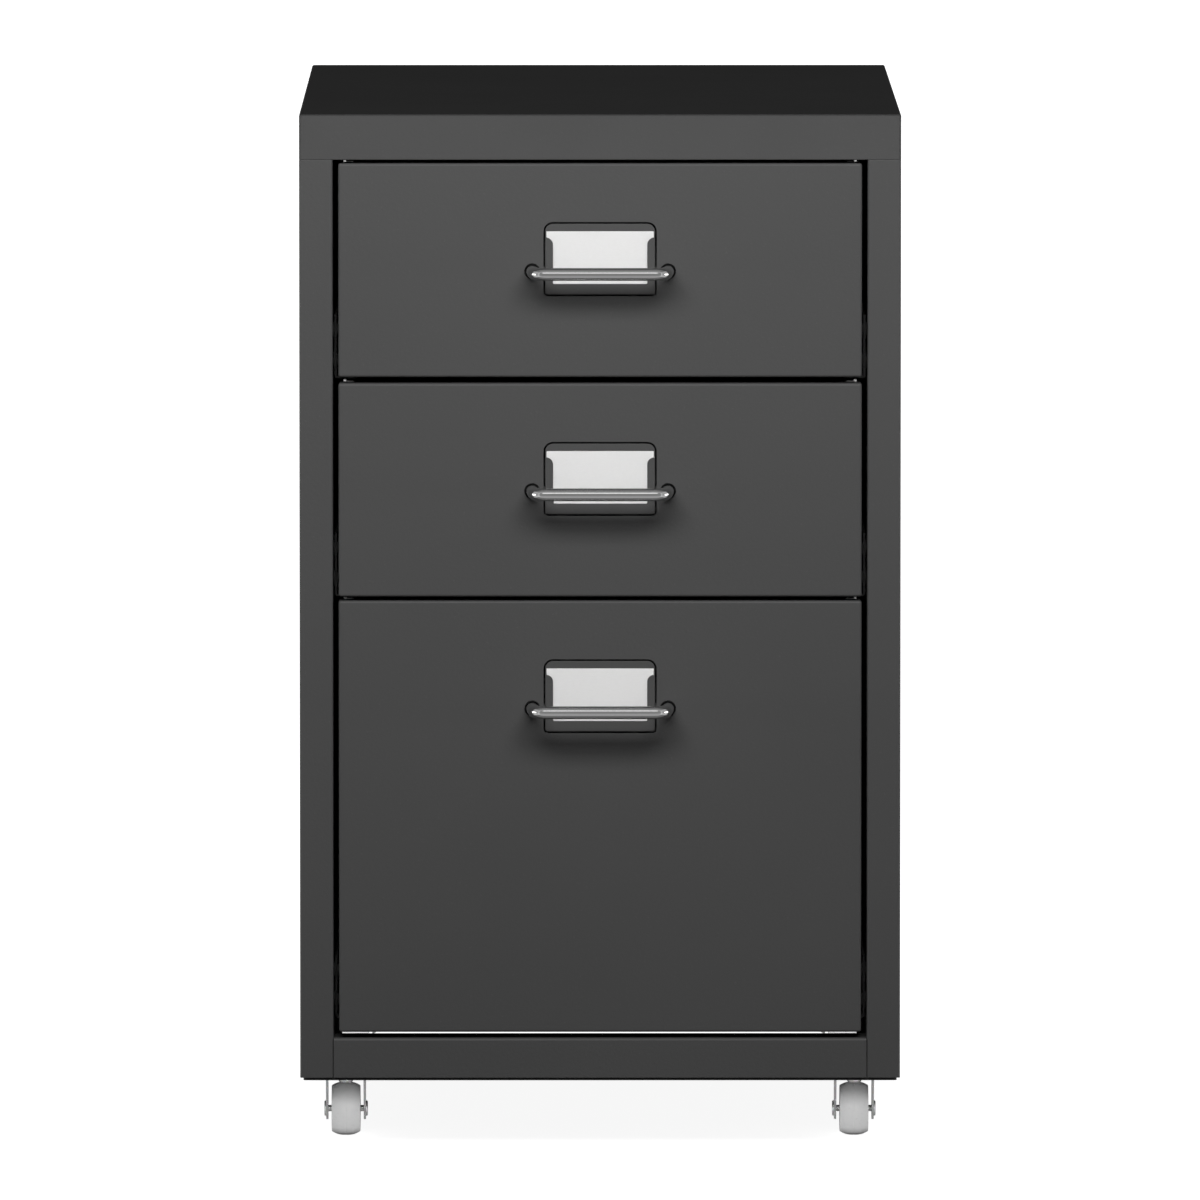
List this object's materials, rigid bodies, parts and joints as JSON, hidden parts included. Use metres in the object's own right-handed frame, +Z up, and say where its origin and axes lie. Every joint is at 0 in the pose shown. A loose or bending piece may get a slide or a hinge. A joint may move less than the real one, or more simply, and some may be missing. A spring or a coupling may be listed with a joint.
{
  "type": "filing cabinet",
  "caption": "Small sheet-steel drawer cabinet on swivel casters: shallow drawers over a deep one, each with a wire pull and a label holder.",
  "frame": {"origin": "bottom centre of the whole cabinet's box, pulls included, on the floor under the wheels", "axes": "+Z up; the drawers open towards -Y; +X to the right as seen from the front"},
  "size_m": [0.28, 0.4564, 0.481],
  "materials": {
    "powder_coat": "fine-textured dark grey powder coat, semi-matt",
    "zinc_plated_steel": "bright zinc plating",
    "bearing_steel": "polished",
    "plated_wire": "nickel plating, satin",
    "black_plastic": "moulded, matt",
    "white_nylon": "moulded, satin",
    "wheel_plastic": "moulded light grey, satin",
    "white_card": "uncoated white card"
  },
  "bodies": {
    "cabinet": {"top_cap": "powder_coat", "left_side_panel": "powder_coat", "right_side_panel": "powder_coat", "back_panel": "powder_coat", "front_plinth": "powder_coat", "front_base_channel": "powder_coat", "rear_base_channel": "powder_coat", "top_left_rail": "powder_coat", "top_right_rail": "powder_coat", "middle_left_rail": "powder_coat", "middle_right_rail": "powder_coat", "bottom_left_rail": "powder_coat", "bottom_right_rail": "powder_coat", "rail_rivets": "powder_coat", "shell_rivets": "powder_coat", "cap_screws": "zinc_plated_steel", "caster_screws": "zinc_plated_steel", "caster_balls": "bearing_steel", "front_left_caster_plate": "zinc_plated_steel", "front_left_caster_kingpin": "zinc_plated_steel", "front_right_caster_plate": "zinc_plated_steel", "front_right_caster_kingpin": "zinc_plated_steel", "rear_left_caster_plate": "zinc_plated_steel", "rear_left_caster_kingpin": "zinc_plated_steel", "rear_right_caster_plate": "zinc_plated_steel", "rear_right_caster_kingpin": "zinc_plated_steel"},
    "drawer_top": {"top_drawer_front": "powder_coat", "top_drawer_tray": "powder_coat", "top_label_holder": "powder_coat", "top_label_card": "white_card", "top_pull": "plated_wire", "top_pull_ferrules": "black_plastic", "top_drawer_glides": "white_nylon"},
    "drawer_middle": {"middle_drawer_front": "powder_coat", "middle_drawer_tray": "powder_coat", "middle_label_holder": "powder_coat", "middle_label_card": "white_card", "middle_pull": "plated_wire", "middle_pull_ferrules": "black_plastic", "middle_drawer_glides": "white_nylon"},
    "drawer_bottom": {"bottom_drawer_front": "powder_coat", "bottom_drawer_tray": "powder_coat", "bottom_label_holder": "powder_coat", "bottom_label_card": "white_card", "bottom_pull": "plated_wire", "bottom_pull_ferrules": "black_plastic", "bottom_drawer_glides": "white_nylon"},
    "front_left_swivel": {"front_left_caster_fork": "zinc_plated_steel", "front_left_caster_axle": "zinc_plated_steel"},
    "front_left_wheel": {"front_left_caster_wheel": "wheel_plastic"},
    "front_right_swivel": {"front_right_caster_fork": "zinc_plated_steel", "front_right_caster_axle": "zinc_plated_steel"},
    "front_right_wheel": {"front_right_caster_wheel": "wheel_plastic"},
    "rear_left_swivel": {"rear_left_caster_fork": "zinc_plated_steel", "rear_left_caster_axle": "zinc_plated_steel"},
    "rear_left_wheel": {"rear_left_caster_wheel": "wheel_plastic"},
    "rear_right_swivel": {"rear_right_caster_fork": "zinc_plated_steel", "rear_right_caster_axle": "zinc_plated_steel"},
    "rear_right_wheel": {"rear_right_caster_wheel": "wheel_plastic"}
  },
  "joints": [
    {"name": "top_drawer_slide", "type": "slide", "parent": "cabinet", "child": "drawer_top", "axis": [0, -1, 0], "range_m": [0, 0.3]},
    {"name": "middle_drawer_slide", "type": "slide", "parent": "cabinet", "child": "drawer_middle", "axis": [0, -1, 0], "range_m": [0, 0.3]},
    {"name": "bottom_drawer_slide", "type": "slide", "parent": "cabinet", "child": "drawer_bottom", "axis": [0, -1, 0], "range_m": [0, 0.3]},
    {"name": "front_left_swivel_turn", "type": "hinge", "parent": "cabinet", "child": "front_left_swivel", "pos_m": [-0.119, -0.17875, 0.0302], "axis": [0, 0, 1], "continuous": true},
    {"name": "front_left_wheel_spin", "type": "hinge", "parent": "front_left_swivel", "child": "front_left_wheel", "pos_m": [-0.119, -0.16675, 0.0125], "axis": [1, 0, 0], "continuous": true},
    {"name": "front_right_swivel_turn", "type": "hinge", "parent": "cabinet", "child": "front_right_swivel", "pos_m": [0.119, -0.17875, 0.0302], "axis": [0, 0, 1], "continuous": true},
    {"name": "front_right_wheel_spin", "type": "hinge", "parent": "front_right_swivel", "child": "front_right_wheel", "pos_m": [0.119, -0.16675, 0.0125], "axis": [1, 0, 0], "continuous": true},
    {"name": "rear_left_swivel_turn", "type": "hinge", "parent": "cabinet", "child": "rear_left_swivel", "pos_m": [-0.119, 0.20525, 0.0302], "axis": [0, 0, 1], "continuous": true},
    {"name": "rear_left_wheel_spin", "type": "hinge", "parent": "rear_left_swivel", "child": "rear_left_wheel", "pos_m": [-0.119, 0.19325, 0.0125], "axis": [1, 0, 0], "continuous": true},
    {"name": "rear_right_swivel_turn", "type": "hinge", "parent": "cabinet", "child": "rear_right_swivel", "pos_m": [0.119, 0.20525, 0.0302], "axis": [0, 0, 1], "continuous": true},
    {"name": "rear_right_wheel_spin", "type": "hinge", "parent": "rear_right_swivel", "child": "rear_right_wheel", "pos_m": [0.119, 0.19325, 0.0125], "axis": [1, 0, 0], "continuous": true}
  ]
}
